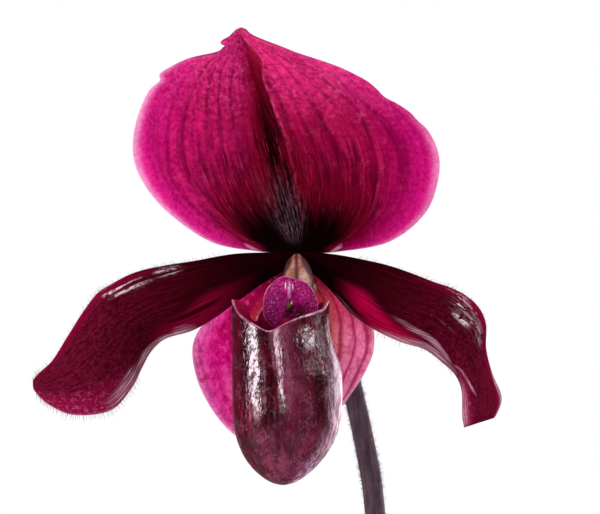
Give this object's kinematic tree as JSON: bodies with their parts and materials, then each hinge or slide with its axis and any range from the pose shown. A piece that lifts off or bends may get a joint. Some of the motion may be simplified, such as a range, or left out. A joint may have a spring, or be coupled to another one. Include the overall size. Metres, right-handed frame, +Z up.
{
  "type": "potted slipper orchid",
  "caption": "Dark wine slipper orchid in bloom: a pouched flower on a hairy scape over a fan of mottled leaves, in a plain clay pot of bark.",
  "frame": {"origin": "centre of the pot's foot, on the surface that the pot stands on", "axes": "+Z up along the pot and the scape, -Y the way the bloom faces, +X to the right seen from the front"},
  "size_m": [0.2317, 0.1078, 0.3738],
  "materials": {
    "clay": "matte",
    "bark": "matte",
    "root": "matte",
    "leaf": "satin",
    "scape": "matte",
    "bract": "matte",
    "ovary": "matte",
    "sepal": "satin",
    "synsepal": "satin",
    "petal": "satin",
    "lip": "gloss",
    "column": "satin",
    "shield": "satin"
  },
  "bodies": {
    "root": {"pot": "clay", "bark_mix": "bark", "rootstock": "root", "leaf_1": "leaf", "leaf_2": "leaf", "leaf_3": "leaf", "leaf_4": "leaf", "leaf_5": "leaf", "leaf_6": "leaf", "scape": "scape", "ovary": "ovary", "bract": "bract", "synsepal": "synsepal", "dorsal_sepal": "sepal", "petal_left": "petal", "petal_right": "petal", "lip": "lip", "column": "column", "staminode": "shield"}
  },
  "joints": []
}
